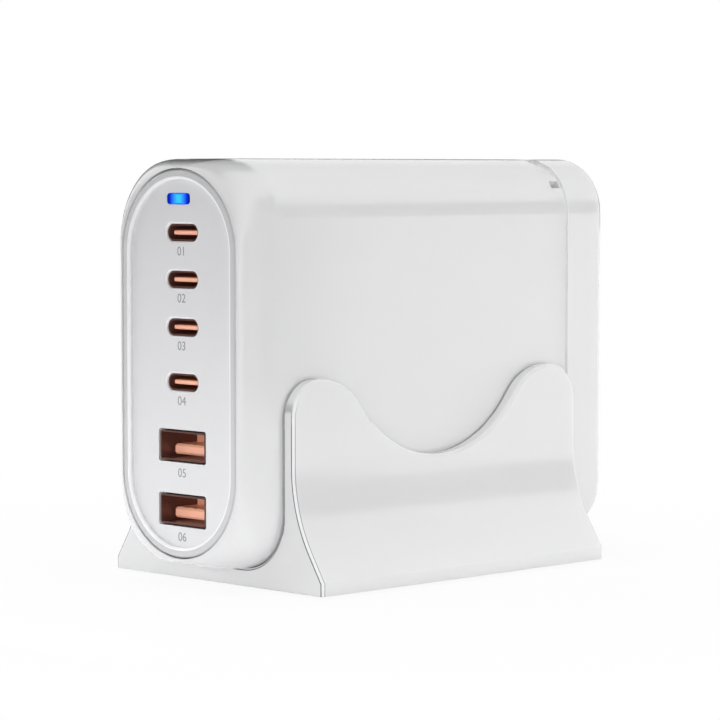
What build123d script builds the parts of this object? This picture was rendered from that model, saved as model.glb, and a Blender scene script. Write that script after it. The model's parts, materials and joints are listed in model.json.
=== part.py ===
from build123d import *
import os
from math import acos, atan, cos, radians, sin, tan

# A desktop charger with six USB sockets, resting upright in a flared stand with waved cheeks.
# X runs across the front, the front faces -Y, Z points up, and all sizes are in millimetres.

# Charger body: a sleeve with a rounded nose, closed by a front cover and a rear cover.
BODY_WIDTH = 38.0
BODY_HEIGHT = 79.2
BODY_DEPTH = 103.4
BODY_CORNER = 11.3
WALL = 2.0
NOSE_DEPTH = 8.7
NOSE_LAND = 0.1
NOSE_SECTIONS = 6

# Front cover: a pill-shaped plate with a raised rim round a recessed face.
COVER_SIDE_MARGIN = 2.6
COVER_END_MARGIN = 2.1
COVER_RIM = 1.9
COVER_SEAM = 0.25
RIM_ROUND = 0.5
PILL_FLAT = 0.2
FACE_RECESS = 1.0
FACE_THICKNESS = 1.8
LEDGE_WIDTH = 1.8
LEDGE_THICKNESS = 2.0
SKIRT_WALL = 1.4
SKIRT_DEPTH = 5.0
HOOK_REACH = 0.7
HOOK_LENGTH = 2.2
HOOK_WIDTH = 8.0
HOOK_PLACE = 0.17
HOOK_PLAY = 0.1

# Rear cover: a cap whose neck shows as a recessed band behind the main shell, slotted at both shoulders.
REAR_COVER_DEPTH = 11.7
REAR_ROUND = 2.4
REAR_WALL = 2.2
BAND_WIDTH = 3.7
BAND_RECESS = 0.6
BAND_SLOT_TURN = 34.5
BAND_SLOT_HEIGHT = 1.8
BAND_SLOT_DEPTH = 2.0
BAND_SLOT_SHARE = 0.9
SPIGOT_DEPTH = 5.0
SPIGOT_WALL = 1.6
SPIGOT_PLAY = 0.15

# Places of the indicator and the sockets, as shares of the cover's height from its top.
LENS_PLACE = 0.075
C_PLACES = (0.162, 0.283, 0.406, 0.548)
A_PLACES = (0.713, 0.879)

# Sockets: a folded steel shell, an insulator with a tongue, and the contacts that lie on the tongue.
SOCKET_REACH = 13.4
SOCKET_SHEET = 0.3
INSULATOR_BASE = 4.0
INSULATOR_PLAY = 0.05
C_WIDTH = 8.94
C_HEIGHT = 3.26
C_TONGUE_WIDTH = 6.7
C_TONGUE_THICKNESS = 0.8
C_TONGUE_SETBACK = 0.65
C_MOUTH_DEPTH = 0.5
C_LEAD_IN = 0.5
C_PLAY = 0.06
C_CONTACTS = 12
C_CONTACT_PITCH = 0.5
C_CONTACT_WIDTH = 0.25
A_WIDTH = 13.1
A_HEIGHT = 5.7
A_CORNER = 0.5
A_TONGUE_WIDTH = 11.1
A_TONGUE_THICKNESS = 2.0
A_TONGUE_SETBACK = 3.0
A_TONGUE_DROP = 1.0
A_MOUTH_DEPTH = 0.15
A_PLAY = 0.35
A_CONTACTS = 4
A_CONTACT_PITCH = 2.3
A_CONTACT_WIDTH = 1.0
CONTACT_THICKNESS = 0.12
TONGUE_BEVEL_SHARE = 0.2
CONTACT_SETBACK = 0.5

# Indicator: a light pipe left of the middle, with a shoulder behind the face, and the LED that feeds it.
LENS_WIDTH = 6.6
LENS_HEIGHT = 2.1
LENS_SHIFT = 0.8
LENS_CORNER = 0.7
LENS_PLAY = 0.08
LENS_SHOULDER = 0.45
LED_WIDTH = 3.5
LED_DEPTH = 2.0
LED_HEIGHT = 1.0

# Port board, the posts that carry it and its screws.
PORT_BOARD_MARGIN = 3.6
BOARD_THICKNESS = 1.6
POST_DIAMETER = 4.4
POST_MARGIN = 2.6
POST_PLACE = 0.24
SCREW_DIAMETER = 2.0
SCREW_HEAD_DIAMETER = 3.8
SCREW_HEAD_HEIGHT = 1.3
SCREW_LENGTH = 7.0
SCREW_CROSS = 0.6
SCREW_TIP_GAP = 0.5
SCREW_PLAY = 0.05

# Main board, standing in rails of the shell beside the left wall.
BOARD_STANDOFF = 4.2
BOARD_EDGE = 4.6
BOARD_GAP = 0.8
RAIL_GRIP = 1.5
RAIL_WIDTH = 1.4
RAIL_PLAY = 0.15
HEADER_SIZE = 2.5
HEADER_INSET = 2.0
HEADER_PINS = 7
HEADER_PITCH = 2.54
HEADER_PIN = 0.64
SINK_SHEET = 2.0
SINK_FOOT = 3.0
PACKAGE_THICKNESS = 4.5

# Mains inlet in the rear cover: a figure-of-eight recess with two round pins.
INLET_PLACE = 0.2525
INLET_WIDTH = 21.0
INLET_HEIGHT = 12.0
INLET_CORNER = 3.0
INLET_PLAY = 0.15
INLET_RECESS = 0.3
INLET_FLANGE = 1.8
INLET_FLANGE_THICKNESS = 1.5
INLET_FLOOR = 2.0
INLET_DEPTH = 11.0
LOBE_DIAMETER = 8.0
LOBE_WAIST = 6.4
PIN_PITCH = 8.6
PIN_DIAMETER = 2.4
PIN_LENGTH = 9.0
PIN_TAIL = 3.0
PIN_PLAY = 0.05
WIRE_DIAMETER = 2.2
WIRE_BEND = 3.0
WIRE_STEP = 3.8
WIRE_EDGE = 2.6

# Cooling: a plate along the right wall, reached through a pad on the transformer, and a film on the left.
SPREADER_THICKNESS = 1.2
SPREADER_GAP = 0.2
SPREADER_MARGIN = 9.0
THERMAL_PAD = 1.5
FILM_THICKNESS = 0.4

# Transformer: a ferrite core with a centre leg, a bobbin on that leg and the winding between its flanges.
CORE_LEG_SHARE = 0.37
CORE_SIDE_SHARE = 0.15
CORE_YOKE_SHARE = 0.15
BOBBIN_WALL = 0.8
BOBBIN_PLAY = 0.1
WINDING_GAP = 0.3

# Stand: two cheeks on a flared foot, with a cradle between them.
STAND_WIDTH = 60.4
STAND_SETBACK = 9.65
STAND_REAR_SETBACK = 12.9
STAND_FLOOR = 3.6
FOOT_EDGE = 2.5
CHEEK = 2.9
CRADLE_PLAY = 0.2
FLARE_RADIUS = 30.0
FLARE_SLOPE = 32.5
HORN_TOP = 40.6
HORN_CORNER = 7.5
DIP_TOP = 24.1
DIP_SHARE = 0.67
STAND_ROUND = 0.7
POCKET_RIBS = 3
PAD_DIAMETER = 9.0
PAD_SEAT = 0.8
PAD_PROUD = 0.5
PAD_PLAY = 0.1
PAD_MARGIN = 1.7
PAD_INSET = 10.0

# Places that follow from the sizes above.
BODY_BOTTOM = PAD_PROUD + STAND_FLOOR
MID_Z = BODY_BOTTOM + BODY_HEIGHT / 2
COVER_WIDTH = BODY_WIDTH - 2 * COVER_SIDE_MARGIN
COVER_HEIGHT = BODY_HEIGHT - 2 * COVER_END_MARGIN
COVER_TOP = MID_Z + COVER_HEIGHT / 2
FRONT = -BODY_DEPTH / 2
BACK = BODY_DEPTH / 2
FACE_Y = FRONT + FACE_RECESS
FACE_BACK = FACE_Y + FACE_THICKNESS
CAVITY_FRONT = FACE_BACK + LEDGE_THICKNESS
BAND_BACK = BACK - REAR_COVER_DEPTH
SHELL_BACK = BAND_BACK - BAND_WIDTH
SPIGOT_FRONT = SHELL_BACK - SPIGOT_DEPTH
INNER_HALF = BODY_WIDTH / 2 - WALL
C_MOUTH = FACE_Y + C_MOUTH_DEPTH
A_MOUTH = FACE_Y + A_MOUTH_DEPTH
C_TIP = C_MOUTH + C_TONGUE_SETBACK
A_TIP = A_MOUTH + A_TONGUE_SETBACK
PORT_BOARD_Y = FACE_Y + SOCKET_REACH
PORT_BOARD_BACK = PORT_BOARD_Y + BOARD_THICKNESS
BOARD_FRONT = PORT_BOARD_BACK + SCREW_HEAD_HEIGHT + BOARD_GAP
BOARD_REAR = SPIGOT_FRONT - BOARD_GAP
BOARD_MID_Y = (BOARD_FRONT + BOARD_REAR) / 2
BOARD_LENGTH = BOARD_REAR - BOARD_FRONT
BOARD_HEIGHT = BODY_HEIGHT - 2 * WALL - 2 * BOARD_EDGE
BOARD_UNIT = min(BOARD_LENGTH, BOARD_HEIGHT)
BOARD_FACE = BOARD_STANDOFF + BOARD_THICKNESS - INNER_HALF
SPREADER_X = INNER_HALF - SPREADER_GAP - SPREADER_THICKNESS
ROOM = SPREADER_X - BOARD_FACE
PORT_BOARD_WIDTH = COVER_WIDTH - 2 * PORT_BOARD_MARGIN
PORT_BOARD_HEIGHT = COVER_HEIGHT - 2 * PORT_BOARD_MARGIN
POST_X = PORT_BOARD_WIDTH / 2 - POST_MARGIN
POST_Z = POST_PLACE * COVER_HEIGHT
LENS_Z = COVER_TOP - LENS_PLACE * COVER_HEIGHT
C_HEIGHTS = [COVER_TOP - place * COVER_HEIGHT for place in C_PLACES]
A_HEIGHTS = [COVER_TOP - place * COVER_HEIGHT for place in A_PLACES]
INLET_Z = MID_Z - INLET_PLACE * BODY_HEIGHT
INLET_BACK = BACK - INLET_RECESS
INLET_FRONT = INLET_BACK - INLET_DEPTH - INLET_FLOOR
STAND_FRONT = FRONT + STAND_SETBACK
STAND_DEPTH = BODY_DEPTH - STAND_SETBACK - STAND_REAR_SETBACK
STAND_MID_Y = STAND_FRONT + STAND_DEPTH / 2
CRADLE_HALF = BODY_WIDTH / 2 + CRADLE_PLAY
CHEEK_HALF = CRADLE_HALF + CHEEK
PAD_X = CRADLE_HALF - PAD_MARGIN - PAD_DIAMETER / 2
STANDING = (Align.CENTER, Align.CENTER, Align.MIN)
TOUCH = 0.01


def prism(outline, y_front, y_back, z=MID_Z):
    """Extrude an outline drawn as seen from the front, from one depth to another."""
    plane = Plane(origin=(0, y_front, z), x_dir=(1, 0, 0), z_dir=(0, -1, 0))
    return extrude(plane * outline, amount=y_front - y_back)


def pill(width, height):
    """Upright pill outline; a hair of straight edge is kept at each end so that all outlines match."""
    return RectangleRounded(width, height, width / 2 - PILL_FLAT)


def body_outline(inset):
    """Section of the body, moved inwards all round."""
    return RectangleRounded(BODY_WIDTH - 2 * inset, BODY_HEIGHT - 2 * inset, BODY_CORNER - inset)


def block(size_x, size_y, size_z, x, y, z):
    """Box given by its size and the middle of its lower face."""
    return Pos(x, y, z) * Box(size_x, size_y, size_z, align=STANDING)


def on_board(u, v):
    """Place on the main board: u backwards and v upwards, as shares of its length and height.

    There, x runs along the board, y up the board, and z away from it.
    """
    origin = (BOARD_FACE, BOARD_MID_Y + u * BOARD_LENGTH, MID_Z + v * BOARD_HEIGHT)
    return Plane(origin=origin, x_dir=(0, 1, 0), z_dir=(1, 0, 0))


def edges_at_y(shape, y):
    """Edges that lie wholly in one plane across the depth."""
    return [edge for edge in shape.edges()
            if abs(edge.bounding_box().min.Y - y) < TOUCH and abs(edge.bounding_box().max.Y - y) < TOUCH]


def nose():
    """Loft from the pill round the cover to the full section, bulging as a quarter ellipse."""
    width = COVER_WIDTH + 2 * (COVER_SEAM + NOSE_LAND)
    height = COVER_HEIGHT + 2 * (COVER_SEAM + NOSE_LAND)
    corner = width / 2 - PILL_FLAT
    sections = []
    for step in range(NOSE_SECTIONS):
        angle = radians(90 * step / (NOSE_SECTIONS - 1))
        share = sin(angle)
        outline = RectangleRounded(width + (BODY_WIDTH - width) * share,
                                   height + (BODY_HEIGHT - height) * share,
                                   corner + (BODY_CORNER - corner) * share)
        y = FRONT + NOSE_DEPTH * (1 - cos(angle))
        sections.append(Plane(origin=(0, y, MID_Z), x_dir=(1, 0, 0), z_dir=(0, -1, 0)) * outline)
    return loft(sections)


def main_shell():
    cavity = prism(body_outline(WALL), CAVITY_FRONT, SHELL_BACK)
    rails = []
    middle = BOARD_FACE - BOARD_THICKNESS / 2
    offset_x = BOARD_THICKNESS / 2 + RAIL_PLAY + RAIL_WIDTH / 2
    rail_height = WALL + BOARD_EDGE + RAIL_GRIP
    for x in (middle - offset_x, middle + offset_x):
        rails.append(block(RAIL_WIDTH, BOARD_LENGTH, rail_height, x, BOARD_MID_Y, BODY_BOTTOM))
        rails.append(block(RAIL_WIDTH, BOARD_LENGTH, rail_height, x, BOARD_MID_Y,
                           BODY_BOTTOM + BODY_HEIGHT - rail_height))
    rail_set = [rail & cavity for rail in rails]
    shell = nose() + prism(body_outline(0), FRONT + NOSE_DEPTH, SHELL_BACK)
    shell -= cavity
    shell -= prism(pill(COVER_WIDTH + 2 * COVER_SEAM, COVER_HEIGHT + 2 * COVER_SEAM), FRONT, FACE_BACK)
    shell -= prism(pill(COVER_WIDTH - 2 * LEDGE_WIDTH, COVER_HEIGHT - 2 * LEDGE_WIDTH),
                   FACE_BACK, CAVITY_FRONT)
    for rail in rail_set:
        shell += rail
    return shell


def front_cover():
    plate = prism(pill(COVER_WIDTH, COVER_HEIGHT), FRONT, FACE_BACK)
    plate -= prism(pill(COVER_WIDTH - 2 * COVER_RIM, COVER_HEIGHT - 2 * COVER_RIM), FRONT, FACE_Y)
    plate = fillet(edges_at_y(plate, FRONT), RIM_ROUND)
    skirt_width = COVER_WIDTH - 2 * LEDGE_WIDTH - 2 * COVER_SEAM
    skirt_height = COVER_HEIGHT - 2 * LEDGE_WIDTH - 2 * COVER_SEAM
    skirt_back = FACE_BACK + SKIRT_DEPTH
    skirt = prism(pill(skirt_width, skirt_height), FACE_BACK, skirt_back)
    skirt -= prism(pill(skirt_width - 2 * SKIRT_WALL, skirt_height - 2 * SKIRT_WALL), FACE_BACK, skirt_back)
    cover = plate + skirt
    latch = CAVITY_FRONT + HOOK_PLAY
    root = skirt_width / 2 - SKIRT_WALL / 2
    tip = COVER_WIDTH / 2 - LEDGE_WIDTH + HOOK_REACH
    for z in (MID_Z - HOOK_PLACE * COVER_HEIGHT, MID_Z + HOOK_PLACE * COVER_HEIGHT):
        plane = Plane(origin=(0, 0, z - HOOK_WIDTH / 2), x_dir=(1, 0, 0), z_dir=(0, 0, 1))
        wedge = Polygon((root, latch), (tip, latch), (skirt_width / 2, latch + HOOK_LENGTH),
                        (root, latch + HOOK_LENGTH), align=None)
        hook = extrude(plane * wedge, amount=HOOK_WIDTH)
        cover += hook
        cover += mirror(hook, about=Plane.YZ)
    for x in (-POST_X, POST_X):
        for z in (MID_Z - POST_Z, MID_Z + POST_Z):
            post = prism(Pos(x, 0) * Circle(POST_DIAMETER / 2), FACE_BACK, PORT_BOARD_Y, z)
            pilot = Pos(x, 0) * Circle(SCREW_DIAMETER / 2 + SCREW_PLAY)
            post -= prism(pilot, PORT_BOARD_BACK - SCREW_LENGTH, PORT_BOARD_Y, z)
            cover += post
    for z in C_HEIGHTS:
        cover -= prism(c_outline(-C_PLAY), FACE_Y, FACE_BACK, z)
        mouth = [edge for edge in edges_at_y(cover, FACE_Y)
                 if abs(edge.center().X) < C_WIDTH and abs(edge.center().Z - z) < C_HEIGHT]
        cover = fillet(mouth, C_LEAD_IN)
    hole = RectangleRounded(A_WIDTH + 2 * A_PLAY, A_HEIGHT + 2 * A_PLAY, A_CORNER)
    for z in A_HEIGHTS:
        cover -= prism(hole, FACE_Y, FACE_BACK, z)
    corner = LENS_CORNER + LENS_PLAY
    window = RectangleRounded(LENS_WIDTH + 2 * LENS_PLAY, LENS_HEIGHT + 2 * LENS_PLAY, corner)
    return cover - prism(at_lens(window), FACE_Y, FACE_BACK, LENS_Z)


def rear_cover():
    cap = prism(body_outline(0), BAND_BACK, BACK)
    cap = fillet(edges_at_y(cap, BACK), REAR_ROUND)
    cap += prism(body_outline(BAND_RECESS), SHELL_BACK, BAND_BACK)
    cap += prism(body_outline(WALL + SPIGOT_PLAY), SPIGOT_FRONT, SHELL_BACK)
    cap -= prism(body_outline(WALL + SPIGOT_PLAY + SPIGOT_WALL), SPIGOT_FRONT, BACK - REAR_WALL)
    shoulder = Pos(BODY_WIDTH / 2 - BODY_CORNER, (SHELL_BACK + BAND_BACK) / 2,
                   MID_Z + BODY_HEIGHT / 2 - BODY_CORNER)
    surface = Pos(BODY_CORNER - BAND_RECESS, 0, 0)
    slot = Box(2 * BAND_SLOT_DEPTH, BAND_SLOT_SHARE * BAND_WIDTH, BAND_SLOT_HEIGHT)
    slot = shoulder * Rot(0, -BAND_SLOT_TURN, 0) * surface * slot
    cap -= slot
    cap -= mirror(slot, about=Plane.YZ)
    hole = RectangleRounded(INLET_WIDTH + 2 * INLET_PLAY, INLET_HEIGHT + 2 * INLET_PLAY,
                            INLET_CORNER + INLET_PLAY)
    return cap - prism(hole, BACK - REAR_WALL, BACK, INLET_Z)


def c_outline(inset):
    """Outline of a USB-C socket, moved inwards all round."""
    return SlotOverall(C_WIDTH - 2 * inset, C_HEIGHT - 2 * inset)


def a_outline(inset):
    """Outline of a USB-A socket, moved inwards all round."""
    return RectangleRounded(A_WIDTH - 2 * inset, A_HEIGHT - 2 * inset, A_CORNER - inset)


def socket_shell(outline, mouth, z):
    tube = prism(outline(0), mouth, PORT_BOARD_Y, z)
    return tube - prism(outline(SOCKET_SHEET), mouth, PORT_BOARD_Y, z)


def socket_insulator(outline, tongue_width, tongue_thickness, tip_y, drop, z):
    base = prism(outline(SOCKET_SHEET + INSULATOR_PLAY), PORT_BOARD_Y - INSULATOR_BASE, PORT_BOARD_Y, z)
    tongue = prism(Rectangle(tongue_width, tongue_thickness), tip_y, PORT_BOARD_Y, z - drop)
    tip = [edge for edge in edges_at_y(tongue, tip_y) if edge.length > tongue_thickness * 1.01]
    return base + chamfer(tip, tongue_thickness * TONGUE_BEVEL_SHARE)


def socket_contacts(count, pitch, width, tip_y, surface_z, upwards):
    """Row of flat contacts on one side of a tongue, behind its bevelled tip."""
    start = tip_y + CONTACT_SETBACK
    length = PORT_BOARD_Y - INSULATOR_BASE - start
    low = surface_z if upwards else surface_z - CONTACT_THICKNESS
    middle = (count - 1) / 2
    return [block(width, length, CONTACT_THICKNESS, (index - middle) * pitch, start + length / 2, low)
            for index in range(count)]


def usb_c_contacts(z):
    half = C_TONGUE_THICKNESS / 2
    upper = socket_contacts(C_CONTACTS, C_CONTACT_PITCH, C_CONTACT_WIDTH, C_TIP, z + half, True)
    lower = socket_contacts(C_CONTACTS, C_CONTACT_PITCH, C_CONTACT_WIDTH, C_TIP, z - half, False)
    return Compound(children=upper + lower)


def usb_a_contacts(z):
    top = z - A_TONGUE_DROP + A_TONGUE_THICKNESS / 2
    return Compound(children=socket_contacts(A_CONTACTS, A_CONTACT_PITCH, A_CONTACT_WIDTH, A_TIP, top, True))


def at_lens(outline):
    """Outline moved sideways to where the indicator sits."""
    return Pos(-LENS_SHIFT, 0) * outline


def light_pipe():
    lens = prism(at_lens(RectangleRounded(LENS_WIDTH, LENS_HEIGHT, LENS_CORNER)), FACE_Y, FACE_BACK, LENS_Z)
    shoulder = RectangleRounded(LENS_WIDTH + 2 * LENS_SHOULDER, LENS_HEIGHT + 2 * LENS_SHOULDER, LENS_CORNER)
    lens += prism(at_lens(shoulder), FACE_BACK, FACE_BACK + LENS_SHOULDER, LENS_Z)
    guide = at_lens(RectangleRounded(LED_WIDTH, LENS_HEIGHT, LENS_CORNER))
    return lens + prism(guide, FACE_BACK + LENS_SHOULDER, PORT_BOARD_Y - LED_HEIGHT, LENS_Z)


def status_led():
    return prism(at_lens(Rectangle(LED_WIDTH, LED_DEPTH)), PORT_BOARD_Y - LED_HEIGHT, PORT_BOARD_Y, LENS_Z)


def port_board():
    board = prism(pill(PORT_BOARD_WIDTH, PORT_BOARD_HEIGHT), PORT_BOARD_Y, PORT_BOARD_BACK)
    for x in (-POST_X, POST_X):
        for z in (MID_Z - POST_Z, MID_Z + POST_Z):
            board -= prism(Pos(x, 0) * Circle(SCREW_DIAMETER / 2 + SCREW_PLAY),
                           PORT_BOARD_Y, PORT_BOARD_BACK, z)
    return board


def port_board_screws():
    screws = []
    head_back = PORT_BOARD_BACK + SCREW_HEAD_HEIGHT
    for x in (-POST_X, POST_X):
        for z in (MID_Z - POST_Z, MID_Z + POST_Z):
            tip = PORT_BOARD_BACK - SCREW_LENGTH + SCREW_TIP_GAP
            screw = prism(Pos(x, 0) * Circle(SCREW_DIAMETER / 2), tip, PORT_BOARD_BACK, z)
            screw += prism(Pos(x, 0) * Circle(SCREW_HEAD_DIAMETER / 2), PORT_BOARD_BACK, head_back, z)
            slot = SCREW_HEAD_DIAMETER * 0.55
            for cross in (Rectangle(slot, SCREW_CROSS), Rectangle(SCREW_CROSS, slot)):
                screw -= prism(Pos(x, 0) * cross, head_back - SCREW_HEAD_HEIGHT / 2, head_back, z)
            screws.append(screw)
    return Compound(children=screws)


def main_board():
    x = BOARD_FACE - BOARD_THICKNESS / 2
    return block(BOARD_THICKNESS, BOARD_LENGTH, BOARD_HEIGHT, x, BOARD_MID_Y, MID_Z - BOARD_HEIGHT / 2)


def ac_inlet():
    body = prism(RectangleRounded(INLET_WIDTH, INLET_HEIGHT, INLET_CORNER), INLET_FRONT, INLET_BACK, INLET_Z)
    flange = RectangleRounded(INLET_WIDTH + 2 * INLET_FLANGE, INLET_HEIGHT + 2 * INLET_FLANGE, INLET_CORNER)
    flange_back = BACK - REAR_WALL
    body += prism(flange, flange_back - INLET_FLANGE_THICKNESS, flange_back, INLET_Z)
    eight = Rectangle(PIN_PITCH, LOBE_WAIST)
    for x in (-PIN_PITCH / 2, PIN_PITCH / 2):
        eight += Pos(x, 0) * Circle(LOBE_DIAMETER / 2)
    body -= prism(eight, INLET_BACK - INLET_DEPTH, INLET_BACK, INLET_Z)
    for x in (-PIN_PITCH / 2, PIN_PITCH / 2):
        hole = Pos(x, 0) * Circle(PIN_DIAMETER / 2 + PIN_PLAY)
        body -= prism(hole, INLET_FRONT, INLET_BACK - INLET_DEPTH, INLET_Z)
    return body


def ac_inlet_pins():
    pins = []
    tip = INLET_BACK - INLET_DEPTH + PIN_LENGTH
    for x in (-PIN_PITCH / 2, PIN_PITCH / 2):
        pin = prism(Pos(x, 0) * Circle(PIN_DIAMETER / 2), INLET_FRONT - PIN_TAIL, tip, INLET_Z)
        pins.append(chamfer(edges_at_y(pin, tip), PIN_DIAMETER * 0.25))
    return Compound(children=pins)


def mains_wires():
    """Two insulated wires, each from a pin tail forwards and round a bend to the main board."""
    wires = []
    start_y = INLET_FRONT - PIN_TAIL
    for index, x in enumerate((-PIN_PITCH / 2, PIN_PITCH / 2)):
        end_y = BOARD_REAR - WIRE_EDGE - index * WIRE_STEP
        path = FilletPolyline((x, start_y, INLET_Z), (x, end_y, INLET_Z), (BOARD_FACE, end_y, INLET_Z),
                              radius=WIRE_BEND)
        profile = Plane(origin=(x, start_y, INLET_Z), z_dir=(0, -1, 0)) * Circle(WIRE_DIAMETER / 2)
        wires.append(sweep(profile, path=path))
    return Compound(children=wires)


def package(u, v, length, width, height):
    """Block with rounded upright edges; its footprint and height are shares of the board and the room."""
    shape = Box(length * BOARD_LENGTH, width * BOARD_HEIGHT, height * ROOM, align=STANDING)
    shape = fillet(shape.edges().filter_by(Axis.Z), 0.1 * width * BOARD_HEIGHT)
    return on_board(u, v) * shape


def capacitor(u, v, width, height):
    """Round can, turned with a rolled neck near the board and a bevelled rim, and a cross-scored vent."""
    radius = width * BOARD_UNIT / 2
    top = height * ROOM
    bead = 0.15 * radius
    profile = Polyline((0, 0), (radius, 0), (radius, bead), (radius - bead, 2 * bead), (radius, 3 * bead),
                       (radius, top - bead), (radius - bead, top), (0, top), (0, 0))
    can = revolve(make_face(Plane.XZ * profile), axis=Axis.Z)
    for turn in (0, 90):
        can -= Pos(0, 0, top) * Rot(0, 0, turn) * Box(1.2 * radius, bead / 2, bead / 2)
    return on_board(u, v) * can


def coated_disc(u, v, width, thickness):
    """Coated disc on edge, with two leads down to the board."""
    radius = width * BOARD_UNIT / 2
    depth = thickness * BOARD_HEIGHT
    lift = 0.5 * radius
    disc = Pos(0, 0, lift + radius) * Rot(90, 0, 0) * Cylinder(radius, depth)
    disc = chamfer(disc.edges().filter_by(GeomType.CIRCLE), 0.25 * depth)
    for side in (-1, 1):
        disc += Pos(side * 0.6 * radius, 0, 0) * Cylinder(0.1 * radius, lift + radius, align=STANDING)
    return on_board(u, v) * disc


def cooled_package(u, v, length, height, side):
    """Bent heatsink plate with its foot along the board, and a power package with its back against it."""
    sink = Box(length * BOARD_LENGTH, SINK_SHEET, height * ROOM, align=STANDING)
    foot_y = -side * (SINK_SHEET + SINK_FOOT) / 2
    sink += Pos(0, foot_y, 0) * Box(length * BOARD_LENGTH, SINK_FOOT, SINK_SHEET, align=STANDING)
    width = 0.55 * length * BOARD_LENGTH
    leg = 0.2 * height * ROOM
    lid = Pos(0, 0, leg) * Box(width, PACKAGE_THICKNESS, 0.55 * height * ROOM, align=STANDING)
    lid = chamfer(lid.edges().group_by(Axis.Z)[-1].filter_by(Axis.X), 0.25 * PACKAGE_THICKNESS)
    for x in (-width / 4, 0, width / 4):
        lid += Pos(x, 0, 0) * Box(0.1 * width, 0.1 * width, leg, align=STANDING)
    lid = Pos(0, side * (SINK_SHEET + PACKAGE_THICKNESS) / 2, 0) * lid
    return on_board(u, v) * sink, on_board(u, v) * lid


def ring(outer, inner, height):
    return Cylinder(outer, height, align=STANDING) - Cylinder(inner, height, align=STANDING)


def choke(u, v, width, height):
    """Ring core and the two half windings that carry it off the board."""
    outer = width * BOARD_UNIT / 2
    wire = outer / 6
    top = height * ROOM
    core = Pos(0, 0, wire) * ring(outer - wire, 3 * wire, top - 2 * wire)
    coil = ring(outer, 2 * wire, top)
    coil -= Box(2.5 * wire, 3 * outer, 3 * top)
    coil -= core
    return on_board(u, v) * core, on_board(u, v) * coil


def transformer(u, v, width, length, height):
    """Core, bobbin and winding, and the pad that joins the winding's top to the heat spreader."""
    core_x = width * BOARD_LENGTH
    core_y = length * BOARD_HEIGHT
    core_z = height * ROOM
    leg = CORE_LEG_SHARE * core_x
    gap = (core_x - leg) / 2 - CORE_SIDE_SHARE * core_x
    window = core_y * (1 - 2 * CORE_YOKE_SHARE)
    core = Box(core_x, core_y, core_z)
    for side in (-1, 1):
        core -= Pos(side * (leg + gap) / 2, 0, 0) * Box(gap, window, core_z)
    bore_x = leg + 2 * BOBBIN_PLAY
    bore_z = core_z + 2 * BOBBIN_PLAY
    turns = gap - BOBBIN_PLAY - BOBBIN_WALL - WINDING_GAP
    winding_x = bore_x + 2 * (BOBBIN_WALL + turns)
    winding_z = bore_z + 2 * (BOBBIN_WALL + turns)
    level = ROOM - THERMAL_PAD - winding_z / 2
    reach = window - 2 * BOBBIN_PLAY
    spool = reach - 2 * BOBBIN_WALL
    bobbin = Box(bore_x + 2 * BOBBIN_WALL, reach, bore_z + 2 * BOBBIN_WALL)
    foot = (core_y - reach) / 2 + BOBBIN_WALL
    for side in (-1, 1):
        bobbin += Pos(0, side * (reach - BOBBIN_WALL) / 2, 0) * Box(winding_x, BOBBIN_WALL, winding_z)
        bobbin += Pos(0, side * (core_y - foot) / 2, -level) * Box(winding_x, foot, level - core_z / 2,
                                                                  align=STANDING)
    bobbin -= Box(bore_x, reach, bore_z)
    winding = Box(winding_x, spool, winding_z)
    winding = fillet(winding.edges().filter_by(Axis.Y), 0.7 * turns)
    winding -= Box(bore_x + 2 * BOBBIN_WALL, reach, bore_z + 2 * BOBBIN_WALL)
    pad = Pos(0, 0, winding_z / 2) * Box(bore_x, spool, THERMAL_PAD, align=STANDING)
    place = on_board(u, v) * Pos(0, 0, level)
    return place * core, place * bobbin, place * winding, place * pad


def board_header():
    """Angled pin header on the front edge of the main board; its pins end on the port board."""
    strip = Box(HEADER_SIZE, HEADER_PINS * HEADER_PITCH, HEADER_SIZE, align=STANDING)
    pin = BOARD_FRONT + HEADER_INSET - HEADER_SIZE / 2 - PORT_BOARD_BACK
    for index in range(HEADER_PINS):
        y = (index - (HEADER_PINS - 1) / 2) * HEADER_PITCH
        strip += Pos(-(HEADER_SIZE + pin) / 2, y, HEADER_SIZE / 2) * Box(pin, HEADER_PIN, HEADER_PIN)
    return on_board(HEADER_INSET / BOARD_LENGTH - 0.5, 0) * strip


def heat_spreader():
    length = BOARD_LENGTH - SPREADER_MARGIN
    height = BOARD_HEIGHT - SPREADER_MARGIN
    x = SPREADER_X + SPREADER_THICKNESS / 2
    return block(SPREADER_THICKNESS, length, height, x, BOARD_MID_Y, MID_Z - height / 2)


def insulating_film():
    length = BOARD_LENGTH - SPREADER_MARGIN / 2
    height = BODY_HEIGHT - 2 * BODY_CORNER
    x = SPREADER_GAP + FILM_THICKNESS / 2 - INNER_HALF
    return block(FILM_THICKNESS, length, height, x, BOARD_MID_Y, MID_Z - height / 2)


def flare_points():
    """Ends of the concave flare, between the straight foot slope and the upright cheek."""
    slope = radians(FLARE_SLOPE)
    low_x = CHEEK_HALF + FLARE_RADIUS * (1 - cos(slope))
    foot_top = PAD_PROUD + FOOT_EDGE
    low_z = foot_top + (STAND_WIDTH / 2 - low_x) / tan(slope)
    return low_x, low_z, low_z + FLARE_RADIUS * sin(slope)


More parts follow.
